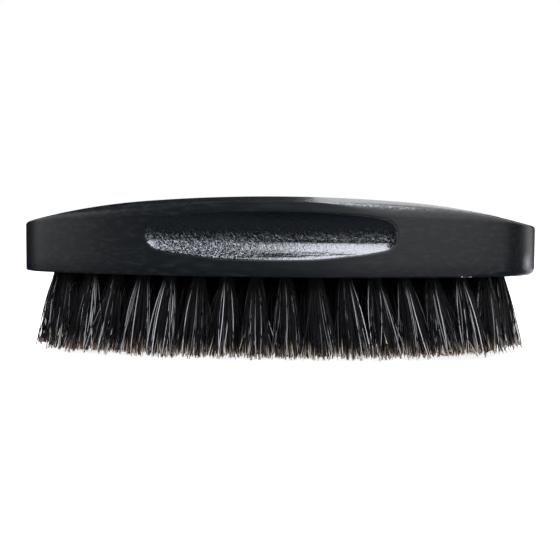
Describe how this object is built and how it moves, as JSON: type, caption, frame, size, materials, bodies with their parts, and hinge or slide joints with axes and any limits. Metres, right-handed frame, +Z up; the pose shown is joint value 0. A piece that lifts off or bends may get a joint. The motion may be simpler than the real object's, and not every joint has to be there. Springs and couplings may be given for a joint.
{
  "type": "beard brush",
  "caption": "Oval palm-held beard brush: a black wooden back with a domed top and a finger groove along each long side, filled below with rings of folded bristle tufts.",
  "frame": {"origin": "centre of the plane that the bristle tips lie in, under the middle of the back", "axes": "+X along the brush, +Y across it from the front groove to the rear one, +Z up out of the domed back"},
  "size_m": [0.125, 0.05, 0.0368],
  "materials": {
    "painted_wood": "satin black paint over fine-grained wood",
    "bristle": "natural black bristle with lighter brown tips",
    "anchor_wire": "flat drawn wire"
  },
  "bodies": {
    "root": {"wooden_back": "painted_wood", "outer_ring_front_tufts": "bristle", "outer_ring_front_anchors": "anchor_wire", "outer_ring_right_end_tufts": "bristle", "outer_ring_right_end_anchors": "anchor_wire", "outer_ring_rear_tufts": "bristle", "outer_ring_rear_anchors": "anchor_wire", "outer_ring_left_end_tufts": "bristle", "outer_ring_left_end_anchors": "anchor_wire", "middle_ring_front_tufts": "bristle", "middle_ring_front_anchors": "anchor_wire", "middle_ring_right_end_tufts": "bristle", "middle_ring_right_end_anchors": "anchor_wire", "middle_ring_rear_tufts": "bristle", "middle_ring_rear_anchors": "anchor_wire", "middle_ring_left_end_tufts": "bristle", "middle_ring_left_end_anchors": "anchor_wire", "inner_ring_front_tufts": "bristle", "inner_ring_front_anchors": "anchor_wire", "inner_ring_right_end_tufts": "bristle", "inner_ring_right_end_anchors": "anchor_wire", "inner_ring_rear_tufts": "bristle", "inner_ring_rear_anchors": "anchor_wire", "inner_ring_left_end_tufts": "bristle", "inner_ring_left_end_anchors": "anchor_wire", "centre_row_tufts": "bristle", "centre_row_anchors": "anchor_wire"}
  },
  "joints": []
}
